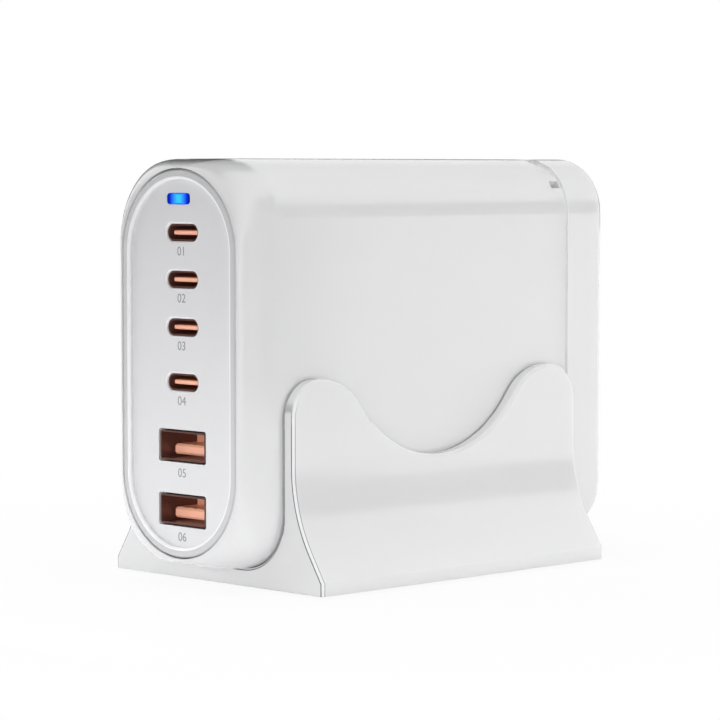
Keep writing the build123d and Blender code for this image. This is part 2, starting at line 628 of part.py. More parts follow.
def stand_front_view():
    """Outline of the stand as seen from the front, before the cradle is cut."""
    low_x, low_z, high_z = flare_points()
    half = radians(FLARE_SLOPE / 2)
    mid = (CHEEK_HALF + FLARE_RADIUS * (1 - cos(half)), high_z - FLARE_RADIUS * sin(half))
    top = PAD_PROUD + HORN_TOP
    foot_half = STAND_WIDTH / 2
    edge_top = PAD_PROUD + FOOT_EDGE
    right = Polyline((0, PAD_PROUD), (foot_half, PAD_PROUD), (foot_half, edge_top), (low_x, low_z))
    right += ThreePointArc((low_x, low_z), mid, (CHEEK_HALF, high_z))
    right += Polyline((CHEEK_HALF, high_z), (CHEEK_HALF, top), (0, top))
    return make_face(right + mirror(right, about=Plane.YZ))


def stand_side_view():
    """Outline of the stand as seen from the side: two horns and a dip, joined by tangent arcs."""
    half = STAND_DEPTH / 2
    top = PAD_PROUD + HORN_TOP
    dip = PAD_PROUD + DIP_TOP
    run = half - HORN_CORNER
    bend = 2 * atan((HORN_TOP - DIP_TOP) / run)
    dip_radius = DIP_SHARE * run / sin(bend)
    horn_radius = (1 - DIP_SHARE) * run / sin(bend)
    turn = (dip_radius * sin(bend), dip + dip_radius * (1 - cos(bend)))
    dip_mid = (dip_radius * sin(bend / 2), dip + dip_radius * (1 - cos(bend / 2)))
    horn_mid = (run - horn_radius * sin(bend / 2), top - horn_radius * (1 - cos(bend / 2)))
    side = Polyline((0, PAD_PROUD), (half, PAD_PROUD), (half, top - HORN_CORNER))
    side += ThreePointArc((half, top - HORN_CORNER),
                          (run + HORN_CORNER * sin(radians(45)), top - HORN_CORNER * (1 - cos(radians(45)))),
                          (run, top))
    side += ThreePointArc((run, top), horn_mid, turn)
    side += ThreePointArc(turn, dip_mid, (0, dip))
    return make_face(side + mirror(side, about=Plane.YZ))


def flare_pocket():
    """Underside hollow of one flare, as seen from the front."""
    low_x, low_z, high_z = flare_points()
    angle = acos(1 - CHEEK / FLARE_RADIUS)
    peak = high_z - FLARE_RADIUS * sin(angle)
    outer = STAND_WIDTH / 2 - CHEEK
    return Polygon((CHEEK_HALF, PAD_PROUD), (outer, PAD_PROUD), (CHEEK_HALF, peak), align=None)


def stand_edge_is_round(edge):
    """All edges are rounded but those that lie along the foot, which stay crisp."""
    span = edge.bounding_box()
    foot_top = PAD_PROUD + FOOT_EDGE
    at_corner = span.min.Z < PAD_PROUD + TOUCH and span.max.Z > foot_top - TOUCH
    return at_corner or span.max.Z > foot_top + TOUCH


def stand():
    back = STAND_FRONT + STAND_DEPTH
    shape = prism(stand_front_view(), STAND_FRONT, back, 0)
    side_plane = Plane(origin=(0, STAND_MID_Y, 0), x_dir=(0, 1, 0), z_dir=(1, 0, 0))
    shape &= extrude(side_plane * stand_side_view(), amount=STAND_WIDTH, both=True)
    cradle = RectangleRounded(2 * CRADLE_HALF, 2 * BODY_HEIGHT, BODY_CORNER - CRADLE_PLAY)
    shape -= prism(cradle, STAND_FRONT, back, BODY_BOTTOM + BODY_HEIGHT)
    shape = fillet([edge for edge in shape.edges() if stand_edge_is_round(edge)], STAND_ROUND)
    bay = (STAND_DEPTH - CHEEK * (POCKET_RIBS + 1)) / POCKET_RIBS
    for index in range(POCKET_RIBS):
        start = STAND_FRONT + CHEEK + index * (bay + CHEEK)
        pocket = prism(flare_pocket(), start, start + bay, 0)
        shape -= pocket
        shape -= mirror(pocket, about=Plane.YZ)
    for x, y in pad_places():
        shape -= Pos(x, y, PAD_PROUD) * Cylinder(PAD_DIAMETER / 2 + PAD_PLAY, PAD_SEAT, align=STANDING)
    return shape


def pad_places():
    reach = STAND_DEPTH / 2 - PAD_INSET
    return [(x, STAND_MID_Y + y) for y in (-reach, reach) for x in (-PAD_X, PAD_X)]


def foot_pad(x, y):
    pad = Cylinder(PAD_DIAMETER / 2, PAD_PROUD + PAD_SEAT, align=STANDING)
    return Pos(x, y, 0) * chamfer(pad.edges().group_by(Axis.Z)[0], PAD_PROUD / 2)


parts = {
    "stand": stand(),
    "main_shell": main_shell(),
    "front_cover": front_cover(),
    "rear_cover": rear_cover(),
    "light_pipe": light_pipe(),
    "status_led": status_led(),
    "port_board": port_board(),
    "port_board_screws": port_board_screws(),
    "main_board": main_board(),
    "board_header": board_header(),
    "ac_inlet": ac_inlet(),
    "ac_inlet_pins": ac_inlet_pins(),
    "mains_wires": mains_wires(),
    "heat_spreader": heat_spreader(),
    "insulating_film": insulating_film(),
    "fuse": package(0.42, -0.41, 0.13, 0.06, 0.28),
    "varistor": coated_disc(0.28, -0.41, 0.125, 0.06),
    "x_capacitor": package(0.39, 0.19, 0.187, 0.257, 0.63),
    "bridge_rectifier": package(0.374, 0.40, 0.234, 0.055, 0.41),
    "y_capacitor": coated_disc(0.062, 0.35, 0.125, 0.06),
}
parts["choke_core"], parts["choke_winding"] = choke(0.35, -0.106, 0.262, 0.366)
parts["primary_heatsink"], parts["primary_switch"] = cooled_package(0.093, 0.121, 0.28, 0.75, 1)
parts["secondary_heatsink"], parts["sync_rectifier"] = cooled_package(-0.21, -0.061, 0.28, 0.67, -1)
(parts["transformer_core"], parts["transformer_bobbin"], parts["transformer_winding"],
 parts["thermal_pad"]) = transformer(-0.21, 0.22, 0.31, 0.41, 0.52)

for number, v in enumerate((-0.348, -0.083), start=1):
    parts[f"bulk_capacitor_{number}"] = capacitor(0.086, v, 0.249, 0.925)
for number, v in enumerate((0.41, 0.258), start=1):
    parts[f"output_capacitor_{number}"] = capacitor(-0.43, v, 0.125, 0.45)
for number, (u, v) in enumerate(((-0.31, -0.242), (-0.171, -0.242), (-0.31, -0.379)), start=1):
    parts[f"output_inductor_{number}"] = package(u, v, 0.112, 0.109, 0.17)

c_tongue = (C_TONGUE_WIDTH, C_TONGUE_THICKNESS, C_TIP, 0)
a_tongue = (A_TONGUE_WIDTH, A_TONGUE_THICKNESS, A_TIP, A_TONGUE_DROP)
for number, z in enumerate(C_HEIGHTS, start=1):
    parts[f"usb_c_{number}_shell"] = socket_shell(c_outline, C_MOUTH, z)
    parts[f"usb_c_{number}_insulator"] = socket_insulator(c_outline, *c_tongue, z)
    parts[f"usb_c_{number}_contacts"] = usb_c_contacts(z)
for number, z in enumerate(A_HEIGHTS, start=1):
    parts[f"usb_a_{number}_shell"] = socket_shell(a_outline, A_MOUTH, z)
    parts[f"usb_a_{number}_insulator"] = socket_insulator(a_outline, *a_tongue, z)
    parts[f"usb_a_{number}_contacts"] = usb_a_contacts(z)

pad_names = ("front_left", "front_right", "rear_left", "rear_right")
for name, (x, y) in zip(pad_names, pad_places()):
    parts[f"foot_pad_{name}"] = foot_pad(x, y)

os.makedirs("parts", exist_ok=True)
for name, shape in parts.items():
    export_step(shape, f"parts/{name}.step")
print(len(parts), "parts written")
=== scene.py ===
# %% [markdown]
# # A desktop charger resting in its stand
# The charger is a white moulded sleeve with a rounded nose, closed in front by a pill-shaped
# cover with six USB sockets and a blue light, and at the back by a cap. It stands in a flared
# white cradle with waved cheeks. All the solids come from the CAD frame, in metres, so this
# lesson adds finishes, printed numbers, light and a camera, and moves no solid.

# %% Load the frame
import json
import math

import bpy
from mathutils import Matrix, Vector


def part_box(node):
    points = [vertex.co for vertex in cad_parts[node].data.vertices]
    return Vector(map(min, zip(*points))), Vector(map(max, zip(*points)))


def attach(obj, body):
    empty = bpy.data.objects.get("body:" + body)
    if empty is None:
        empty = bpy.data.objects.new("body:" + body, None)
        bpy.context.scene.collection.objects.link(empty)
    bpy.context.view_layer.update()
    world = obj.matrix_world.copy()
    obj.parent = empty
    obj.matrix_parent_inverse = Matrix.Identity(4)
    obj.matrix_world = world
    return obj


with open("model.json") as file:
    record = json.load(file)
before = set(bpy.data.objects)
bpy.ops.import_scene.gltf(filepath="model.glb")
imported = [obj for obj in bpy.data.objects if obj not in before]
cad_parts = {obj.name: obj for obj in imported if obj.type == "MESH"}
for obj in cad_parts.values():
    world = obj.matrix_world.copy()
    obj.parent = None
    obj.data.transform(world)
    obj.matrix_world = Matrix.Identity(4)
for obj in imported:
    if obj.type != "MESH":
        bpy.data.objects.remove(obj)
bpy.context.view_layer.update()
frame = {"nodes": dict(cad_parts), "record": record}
solids = frame["nodes"]

# %% [markdown]
# The picture is taken from the front right, a little above the middle of the charger. A long
# lens stands well back, so the upright edges stay almost parallel. A camera in Blender looks
# along its own -Z axis, so it is enough to place it and to turn that axis towards an aim point.

# %% Camera
MM = 0.001
CAMERA_AIM = Vector((-0.28, -2.13, 42.31)) * MM
CAMERA_AZIMUTH = 45.45
CAMERA_ELEVATION = 3.61
CAMERA_DISTANCE = 613.65 * MM
CAMERA_LENS = 150


def direction(azimuth, elevation):
    """Unit vector towards a place given in degrees: azimuth 0 is in front, 90 on the right."""
    turn = math.radians(azimuth)
    rise = math.radians(elevation)
    return Vector((math.sin(turn) * math.cos(rise), -math.cos(turn) * math.cos(rise), math.sin(rise)))


def place_facing(thing, place, aim):
    """Put a camera or lamp at a place and turn its -Z axis towards an aim point."""
    thing.location = place
    thing.rotation_euler = (aim - place).to_track_quat("-Z", "Y").to_euler()
    bpy.context.scene.collection.objects.link(thing)


lens_data = bpy.data.cameras.new("front_right_camera")
lens_data.lens = CAMERA_LENS
lens_data.sensor_width = 36
lens_data.clip_start = 0.05
camera = bpy.data.objects.new("front_right_camera", lens_data)
place_facing(camera, CAMERA_AIM + CAMERA_DISTANCE * direction(CAMERA_AZIMUTH, CAMERA_ELEVATION), CAMERA_AIM)
bpy.context.scene.camera = camera
bpy.context.scene.view_settings.view_transform = "Standard"
print("camera stands at", [round(1000 * c) for c in camera.location], "mm")

# %% [markdown]
# The charger stands on a plain white table that has no visible end. A white surface under a
# lamp would come out grey, so the camera is shown a plain white instead, through Light Path.
# A share of the lit surface is kept near the stand, where it carries the soft shadow, and a
# spherical Gradient lets that share fade away. The room is white too, but only for the camera
# and for mirrored rays: as a source of light it is almost black, so the lamps shape the form.

# %% Floor and background
FLOOR_SIZE = 6.0
FLOOR_COLOUR = (0.86, 0.86, 0.87, 1)
SHADOW_SHARE = 0.12
SHADOW_REACH = 0.2
AMBIENT = (0.02, 0.02, 0.02, 1)


def add_math(tree, operation, first, second=0.0):
    """Math node whose two inputs are numbers or sockets."""
    node = tree.nodes.new("ShaderNodeMath")
    node.operation = operation
    for index, value in enumerate((first, second)):
        if isinstance(value, bpy.types.NodeSocket):
            tree.links.new(value, node.inputs[index])
        else:
            node.inputs[index].default_value = value
    return node.outputs[0]


def seen_directly(tree):
    """A mask that is 1 for rays from the camera, from mirrors and through glass."""
    path = tree.nodes.new("ShaderNodeLightPath")
    glossy = add_math(tree, "MAXIMUM", path.outputs["Is Camera Ray"], path.outputs["Is Glossy Ray"])
    return add_math(tree, "MAXIMUM", glossy, path.outputs["Is Transmission Ray"])


def floor_finish():
    material = bpy.data.materials.new("white_table")
    material.use_nodes = True
    tree = material.node_tree
    lit = tree.nodes["Principled BSDF"]
    lit.inputs["Base Color"].default_value = FLOOR_COLOUR
    lit.inputs["Roughness"].default_value = 0.9
    lit.inputs["Specular IOR Level"].default_value = 0
    white = tree.nodes.new("ShaderNodeEmission")
    near = tree.nodes.new("ShaderNodeTexGradient")
    near.gradient_type = "QUADRATIC_SPHERE"
    fitted = tree.nodes.new("ShaderNodeMapping")
    fitted.vector_type = "TEXTURE"
    fitted.inputs["Scale"].default_value = (SHADOW_REACH, SHADOW_REACH, SHADOW_REACH)
    tree.links.new(tree.nodes.new("ShaderNodeTexCoord").outputs["Object"], fitted.inputs["Vector"])
    tree.links.new(fitted.outputs["Vector"], near.inputs["Vector"])
    shown = tree.nodes.new("ShaderNodeMapRange")
    shown.inputs["To Min"].default_value = 1
    shown.inputs["To Max"].default_value = 1 - SHADOW_SHARE
    tree.links.new(near.outputs["Fac"], shown.inputs["Value"])
    share = add_math(tree, "MULTIPLY", seen_directly(tree), shown.outputs["Result"])
    mix = tree.nodes.new("ShaderNodeMixShader")
    tree.links.new(share, mix.inputs[0])
    tree.links.new(lit.outputs[0], mix.inputs[1])
    tree.links.new(white.outputs[0], mix.inputs[2])
    tree.links.new(mix.outputs[0], tree.nodes["Material Output"].inputs["Surface"])
    return material


def rectangle(name, width, height):
    """Flat mesh with its middle at the origin."""
    x = width / 2
    y = height / 2
    mesh = bpy.data.meshes.new(name)
    mesh.from_pydata([(-x, -y, 0), (x, -y, 0), (x, y, 0), (-x, y, 0)], [], [(0, 1, 2, 3)])
    return bpy.data.objects.new(name, mesh)


floor = rectangle("table_top", FLOOR_SIZE, FLOOR_SIZE)
floor.data.materials.append(floor_finish())
bpy.context.scene.collection.objects.link(floor)

world = bpy.data.worlds.new("white_room")
world.use_nodes = True
bpy.context.scene.world = world
sky = world.node_tree.nodes["Background"]
blend = world.node_tree.nodes.new("ShaderNodeMix")
blend.data_type = "RGBA"
blend.inputs["A"].default_value = AMBIENT
blend.inputs["B"].default_value = (1, 1, 1, 1)
world.node_tree.links.new(seen_directly(world.node_tree), blend.inputs["Factor"])
world.node_tree.links.new(blend.outputs["Result"], sky.inputs["Color"])
print("table of", FLOOR_SIZE, "m, with a shadow that fades within", SHADOW_REACH, "m")

# %% [markdown]
# Glossy white plastic shows its form through soft boxes: large lamps whose light wraps round the
# corners. One hangs overhead, one stands on the left, and two in front fill the sockets. Small
# low boxes on the right and behind lift the long side, and two narrow strips near the table
# stand in for the light that a white table throws back. The gloss mirrors the white room and not
# the lamps, so visible_glossy is off and no hard square shows on the shoulders.

# %% Soft boxes
LIT_POINT = Vector((0, 0, 43)) * MM
SOFT_BOXES = (
    ("top_box", 0, 85, 0.85, 0.40, 0.40, 4.1),
    ("left_box", -90, 8, 0.85, 0.40, 0.34, 2.4),
    ("left_front_box", -60, 8, 0.85, 0.40, 0.34, 2.1),
    ("front_box", 30, 8, 0.85, 0.40, 0.34, 1.2),
    ("right_low_box", 90, 3, 0.36, 0.20, 0.10, 0.47),
    ("back_low_box", 180, 3, 0.36, 0.20, 0.10, 0.42),
    ("right_back_box", 160, 3, 0.20, 0.06, 0.10, 0.05),
    ("front_strip", 0, -18, 0.125, 0.10, 0.02, 0.026),
    ("right_strip", 100, -13, 0.17, 0.14, 0.02, 0.007),
)


def soft_box(name, azimuth, elevation, distance, width, height, watts):
    data = bpy.data.lights.new(name, "AREA")
    data.shape = "RECTANGLE"
    data.size = width
    data.size_y = height
    data.energy = watts
    lamp = bpy.data.objects.new(name, data)
    place_facing(lamp, LIT_POINT + distance * direction(azimuth, elevation), LIT_POINT)
    lamp.visible_glossy = False
    lamp.visible_camera = False
    return lamp


for box_values in SOFT_BOXES:
    lamp = soft_box(*box_values)
    print(lamp.name, lamp.data.energy, "W")

# %% [markdown]
# White on white needs dark edges. Black cards stand outside the picture: a low one close to each
# visible side, two behind on the right for the stand and the nose, two on the left, and one far
# behind for the top. They are seen in mirrored rays only, so they draw soft grey bands along the
# nose and the cheek of the stand and take no light away.

# %% Black cards
CARDS = (
    ("side_card", 100, 3.4, 0.45, 0.52, 0.14),
    ("right_card", 119, 11, 1.5, 1.50, 0.44),
    ("nose_card", 112, 28, 1.5, 1.15, 0.45),
    ("left_card", -115, 26, 1.2, 0.64, 1.17),
    ("left_top_card", -95, 60, 1.2, 1.40, 1.10),
    ("back_card", -155, 7, 1.5, 1.40, 0.37),
    ("front_card", -45, 3.4, 0.45, 0.50, 0.14),
)
CARD_BLACK = (0.02, 0.02, 0.02, 1)


def card_finish():
    material = bpy.data.materials.new("card_black")
    material.use_nodes = True
    shader = material.node_tree.nodes["Principled BSDF"]
    shader.inputs["Base Color"].default_value = CARD_BLACK
    shader.inputs["Roughness"].default_value = 1
    shader.inputs["Specular IOR Level"].default_value = 0
    return material


black = card_finish()
for name, azimuth, elevation, distance, width, height in CARDS:
    card = rectangle(name, width, height)
    card.data.materials.append(black)
    place_facing(card, LIT_POINT + distance * direction(azimuth, elevation), LIT_POINT)
    card.visible_camera = False
    card.visible_diffuse = False
    card.visible_shadow = False
    print(name, "of", width, "by", height, "m")

# %% [markdown]
# Every finish below starts from the Principled shader. A moulded plastic is never one flat
# colour: the tool leaves a fine grain and a faint cloudiness. That effect is shared by many
# pieces, so it is a node group with named inputs, built once. Noise in object coordinates needs
# no unwrapping, and because every solid sits at the origin its grain has one size everywhere.

# %% Node group for a moulded skin


def new_group(name, inputs, outputs):
    """Empty shader node group; each socket is given as (name, kind, value)."""
    group = bpy.data.node_groups.new(name, "ShaderNodeTree")
    for label, kind, value in inputs:
        socket = group.interface.new_socket(label, in_out="INPUT", socket_type=kind)
        socket.default_value = value
    for label, kind in outputs:
        group.interface.new_socket(label, in_out="OUTPUT", socket_type=kind)
    return group, group.nodes.new("NodeGroupInput"), group.nodes.new("NodeGroupOutput")


def add_noise(tree, vector, scale, detail):
    """Noise texture read at a vector; the scale is a number or a socket."""
    noise = tree.nodes.new("ShaderNodeTexNoise")
    noise.inputs["Detail"].default_value = detail
    tree.links.new(vector, noise.inputs["Vector"])
    if isinstance(scale, bpy.types.NodeSocket):
        tree.links.new(scale, noise.inputs["Scale"])
    else:
        noise.inputs["Scale"].default_value = scale
    return noise.outputs["Fac"]


def add_range(tree, value, low, high):
    """Stretch a value between 0 and 1 to lie between two numbers or sockets."""
    stretch = tree.nodes.new("ShaderNodeMapRange")
    tree.links.new(value, stretch.inputs["Value"])
    for label, end in (("To Min", low), ("To Max", high)):
        if isinstance(end, bpy.types.NodeSocket):
            tree.links.new(end, stretch.inputs[label])
        else:
            stretch.inputs[label].default_value = end
    return stretch.outputs["Result"]


def add_mix(tree, factor, first, second):
    """Mix two colours, each a colour or a socket, by a factor socket."""
    mix = tree.nodes.new("ShaderNodeMix")
    mix.data_type = "RGBA"
    tree.links.new(factor, mix.inputs["Factor"])
    for label, colour in (("A", first), ("B", second)):
        if isinstance(colour, bpy.types.NodeSocket):
            tree.links.new(colour, mix.inputs[label])
        else:
            mix.inputs[label].default_value = (*colour, 1)
    return mix.outputs["Result"]


COLOUR = "NodeSocketColor"
NUMBER = "NodeSocketFloat"
CLOUD_SCALE = 60


def moulded_skin_group():
    group, given, made = new_group(
        "moulded_skin",
        [("Colour", COLOUR, (0.8, 0.8, 0.8, 1)), ("Cloud Colour", COLOUR, (0.78, 0.78, 0.78, 1)),
         ("Roughness Low", NUMBER, 0.3), ("Roughness High", NUMBER, 0.36), ("Grain Scale", NUMBER, 3000)],
        [("Colour", COLOUR), ("Roughness", NUMBER), ("Height", NUMBER)])
    place = group.nodes.new("ShaderNodeTexCoord").outputs["Object"]
    cloud = add_noise(group, place, CLOUD_SCALE, 3)
    grain = add_noise(group, place, given.outputs["Grain Scale"], 2)
    group.links.new(add_mix(group, cloud, given.outputs["Colour"], given.outputs["Cloud Colour"]),
                    made.inputs["Colour"])
    group.links.new(add_range(group, grain, given.outputs["Roughness Low"], given.outputs["Roughness High"]),
                    made.inputs["Roughness"])
    group.links.new(grain, made.inputs["Height"])
    return group


moulded_skin = moulded_skin_group()
print("group", moulded_skin.name, "gives", [item.name for item in moulded_skin.interface.items_tree
                                            if item.in_out == "OUTPUT"])

# %% [markdown]
# A finish function places the group in a new material and joins it to the shader. Values that
# are the same all over, such as the coat, are set on the shader itself. The grain also drives
# a very shallow Bump, which breaks up mirror reflections as a polished mould does. Coated white
# pieces let some light wander below their surface, which softens their shadows. The tongues lie
# deep in dark sockets, so a weak emission paints light onto them and keeps them as bright as they
# look to the eye.

# %% Moulded plastics
WHITE = (0.86, 0.86, 0.865)
COAT_ROUGHNESS = 0.1
SUBSURFACE = 0.5
SUBSURFACE_DEPTH = 2 * MM
TONGUE_PAINTED_LIGHT = 0.2


def new_finish(name):
    """Material with its node tree and its Principled shader."""
    material = bpy.data.materials.new(name)
    material.use_nodes = True
    return material, material.node_tree, material.node_tree.nodes["Principled BSDF"]


def add_bump(tree, shader, height, distance):
    bump = tree.nodes.new("ShaderNodeBump")
    bump.inputs["Strength"].default_value = 1
    bump.inputs["Distance"].default_value = distance
    tree.links.new(height, bump.inputs["Height"])
    tree.links.new(bump.outputs["Normal"], shader.inputs["Normal"])


def place_group(tree, group, **values):
    """Put a node group in a material, with its inputs set by name."""
    node = tree.nodes.new("ShaderNodeGroup")
    node.node_tree = group
    for label, value in values.items():
        node.inputs[label.replace("_", " ")].default_value = value
    return node


def shade(colour, factor):
    """The same colour, lighter or darker, with its alpha."""
    return (*[min(1, channel * factor) for channel in colour], 1)


def moulded_plastic(name, colour, roughness, grain=3000, relief=0.002 * MM, cloud=0.985, coat=0, glow=0):
    material, tree, shader = new_finish(name)
    shader.inputs["Emission Color"].default_value = (*colour, 1)
    shader.inputs["Emission Strength"].default_value = glow
    shader.inputs["Coat Weight"].default_value = coat
    shader.inputs["Coat Roughness"].default_value = COAT_ROUGHNESS
    shader.inputs["Subsurface Weight"].default_value = SUBSURFACE * coat
    shader.inputs["Subsurface Radius"].default_value = (1, 1, 1)
    shader.inputs["Subsurface Scale"].default_value = SUBSURFACE_DEPTH
    skin = place_group(tree, moulded_skin, Colour=(*colour, 1), Cloud_Colour=shade(colour, cloud),
                       Roughness_Low=0.9 * roughness, Roughness_High=1.1 * roughness, Grain_Scale=grain)
    tree.links.new(skin.outputs["Colour"], shader.inputs["Base Color"])
    tree.links.new(skin.outputs["Roughness"], shader.inputs["Roughness"])
    add_bump(tree, shader, skin.outputs["Height"], relief)
    return material


finishes = {
    "shell_white": moulded_plastic("shell_gloss_white", WHITE, 0.2, coat=1),
    "rear_white": moulded_plastic("rear_gloss_white", WHITE, 0.2, coat=1),
    # The weak emission of the tongues is painted light.
    "tongue_orange": moulded_plastic("tongue_salmon", (1.0, 0.5, 0.35), 0.4, glow=TONGUE_PAINTED_LIGHT),
    "inlet_black": moulded_plastic("inlet_black", (0.03, 0.03, 0.032), 0.45, 1500, 0.01 * MM, 1.4),
    "package_black": moulded_plastic("package_black", (0.035, 0.035, 0.038), 0.55, 2500, 0.01 * MM, 1.5),
    "bobbin_black": moulded_plastic("bobbin_black", (0.04, 0.04, 0.04), 0.5, 2000, 0.01 * MM, 1.4),
    "film_capacitor_yellow": moulded_plastic("capacitor_box_yellow", (0.78, 0.6, 0.1), 0.35),
    "can_black": moulded_plastic("can_sleeve_black", (0.03, 0.03, 0.045), 0.3, 1200, 0.01 * MM, 1.5),
    "film_clear": moulded_plastic("insulating_film", (0.78, 0.8, 0.78), 0.3, 800, 0.01 * MM, 0.95),
    "led_white": moulded_plastic("led_resin", (0.9, 0.88, 0.7), 0.3, 2000, 0.005 * MM, 0.9),
    "print_grey": moulded_plastic("print_grey", (0.36, 0.36, 0.365), 0.5, 4000, 0.001 * MM, 0.9),
}
print(len(finishes), "moulded finishes")

# %% [markdown]
# The front cover is one satin moulding with three kinds of surface: the recessed face, the rim,
# and the rounded edges. Painted shade makes the rim greyer, and a painted highlight makes the
# inner edge of the rim and the lead-ins of the sockets bright. The distance from the middle line
# of the pill tells the rim from the face, and the depth along Y finds the lead-ins of the sockets.
# Math nodes build both. A Color Ramp then paints the shade and the highlight on the rim, and a
# Map Range paints the highlight on the lead-ins.

# %% Front cover
COVER_WHITE = (0.83, 0.83, 0.84)
RIM_ZONE = 2.4 * MM
# Painted light on the rim: a highlight band along its inner edge, then painted shade out to its edge.
RIM_PAINTED_LIGHT_STOPS = ((0.0, 1.0), (0.21, 1.2), (0.45, 0.82))
PILL_FLAT = 0.2 * MM
LEAD_IN_START = 0.05 * MM
# Painted highlight on the lead-ins of the sockets.
LEAD_IN_PAINTED_HIGHLIGHT = 1.2


def shade_ramp(tree, value, stops, interpolation):
    """Color Ramp of greys over a value socket; each stop is a position and a grey."""
    ramp = tree.nodes.new("ShaderNodeValToRGB")
    ramp.color_ramp.interpolation = interpolation
    while len(ramp.color_ramp.elements) < len(stops):
        ramp.color_ramp.elements.new(0.5)
    for stop, (position, grey) in zip(ramp.color_ramp.elements, stops):
        stop.position = position
        stop.color = (grey, grey, grey, 1)
    tree.links.new(value, ramp.inputs["Fac"])
    return ramp.outputs["Color"]


def scale_colour(tree, shader, factor):
    """Multiply what feeds the base colour of a shader by another colour."""
    product = tree.nodes.new("ShaderNodeVectorMath")
    product.operation = "MULTIPLY"
    tree.links.new(shader.inputs["Base Color"].links[0].from_socket, product.inputs[0])
    tree.links.new(factor, product.inputs[1])
    tree.links.new(product.outputs["Vector"], shader.inputs["Base Color"])


def cover_finish():
    material = moulded_plastic("cover_satin_white", COVER_WHITE, 0.34)
    tree = material.node_tree
    shader = tree.nodes["Principled BSDF"]
    low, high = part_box("front_cover")
    radius = (high.x - low.x) / 2 - PILL_FLAT
    split = tree.nodes.new("ShaderNodeSeparateXYZ")
    tree.links.new(tree.nodes.new("ShaderNodeTexCoord").outputs["Object"], split.inputs["Vector"])
    aside = add_math(tree, "SUBTRACT", add_math(tree, "ABSOLUTE", split.outputs["X"]), PILL_FLAT)
    aside = add_math(tree, "MAXIMUM", aside, 0.0)
    rise = add_math(tree, "ABSOLUTE", add_math(tree, "SUBTRACT", split.outputs["Z"], (low.z + high.z) / 2))
    beyond = add_math(tree, "MAXIMUM", add_math(tree, "SUBTRACT", rise, (high.z - low.z) / 2 - radius), 0.0)
    squares = add_math(tree, "ADD", add_math(tree, "MULTIPLY", aside, aside),
                       add_math(tree, "MULTIPLY", beyond, beyond))
    outwards = add_math(tree, "SUBTRACT", add_math(tree, "SQRT", squares), radius - RIM_ZONE)
    rim = shade_ramp(tree, add_math(tree, "DIVIDE", outwards, RIM_ZONE), RIM_PAINTED_LIGHT_STOPS, "CONSTANT")
    inner = add_math(tree, "GREATER_THAN", split.outputs["Y"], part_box("light_pipe")[0].y + LEAD_IN_START)
    # Paint shade and a highlight band on the rim, then a highlight on the lead-ins.
    scale_colour(tree, shader, rim)
    scale_colour(tree, shader, add_range(tree, inner, 1.0, LEAD_IN_PAINTED_HIGHLIGHT))
    return material


finishes["cover_white"] = cover_finish()
print("cover rim shaded from", round(1000 * RIM_ZONE, 1), "mm inside its edge")

# %% [markdown]
# A painted double line runs down the front edge of each cheek of the stand: two dark lines of
# painted reflection with a painted highlight between them. The edge is rounded, so the direction
# of its surface turns from the front to the side, and a Color Ramp over that turn draws one dark
# line on each side of the rounding.

# %% Stand
# Painted light across the rounded edge: a dark reflection line, a highlight, and another dark line.
EDGE_PAINTED_LIGHT_STOPS = ((0.0, 1.0), (0.06, 1.0), (0.16, 0.02), (0.28, 1.1),
              (0.85, 1.1), (0.94, 0.0), (0.97, 0.0), (0.99, 1.0))
LINE_TOP = 38 * MM
LINE_FADE = 6 * MM
LINE_DEPTH = 1.5 * MM


def stand_finish():
    material = moulded_plastic("stand_gloss_white", WHITE, 0.22, coat=1)
    tree = material.node_tree
    shader = tree.nodes["Principled BSDF"]
    facing = tree.nodes.new("ShaderNodeSeparateXYZ")
    tree.links.new(tree.nodes.new("ShaderNodeNewGeometry").outputs["Normal"], facing.inputs["Vector"])
    # Painted reflection lines with a painted highlight between them, read off the turn of the surface.
    lines = shade_ramp(tree, add_math(tree, "MULTIPLY", facing.outputs["Y"], -1), EDGE_PAINTED_LIGHT_STOPS, "LINEAR")
    place = tree.nodes.new("ShaderNodeSeparateXYZ")
    tree.links.new(tree.nodes.new("ShaderNodeTexCoord").outputs["Object"], place.inputs["Vector"])
    fade = tree.nodes.new("ShaderNodeMapRange")
    fade.inputs["From Min"].default_value = LINE_TOP
    fade.inputs["From Max"].default_value = LINE_TOP - LINE_FADE
    tree.links.new(place.outputs["Z"], fade.inputs["Value"])
    front = add_math(tree, "LESS_THAN", place.outputs["Y"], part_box("stand")[0].y + LINE_DEPTH)
    drawn = add_math(tree, "MULTIPLY", front, fade.outputs["Result"])
    scale_colour(tree, shader, add_mix(tree, drawn, (1, 1, 1), lines))
    return material


finishes["stand_white"] = stand_finish()
print("edge lines up to", round(1000 * LINE_TOP), "mm")

# %% [markdown]
# Rubber feet, ferrite, ceramic coating and the soft thermal pad are matt and speckled. The same
# group serves them, with a coarser grain, a deeper relief and a stronger cloud.

# %% Matt and speckled finishes
finishes.update({
    "pad_rubber": moulded_plastic("foot_rubber", (0.4, 0.4, 0.41), 0.85, 1800, 0.04 * MM, 0.85),
    "ferrite_grey": moulded_plastic("ferrite", (0.12, 0.12, 0.125), 0.6, 2600, 0.03 * MM, 0.7),
    "disc_blue": moulded_plastic("disc_coating_blue", (0.06, 0.18, 0.48), 0.35, 700, 0.03 * MM, 0.85),
    "pad_silicone": moulded_plastic("thermal_pad", (0.55, 0.6, 0.66), 0.9, 1500, 0.04 * MM, 0.9),
})
print(len(finishes), "finishes so far")

# %% [markdown]
# Sheet metal and plated pins carry fine lines from rolling and drawing. Noise that is squeezed
# across one axis and stretched along another gives such lines, again as one shared group.

# %% Node group and finishes for drawn metal
LINE_DETAIL = 4


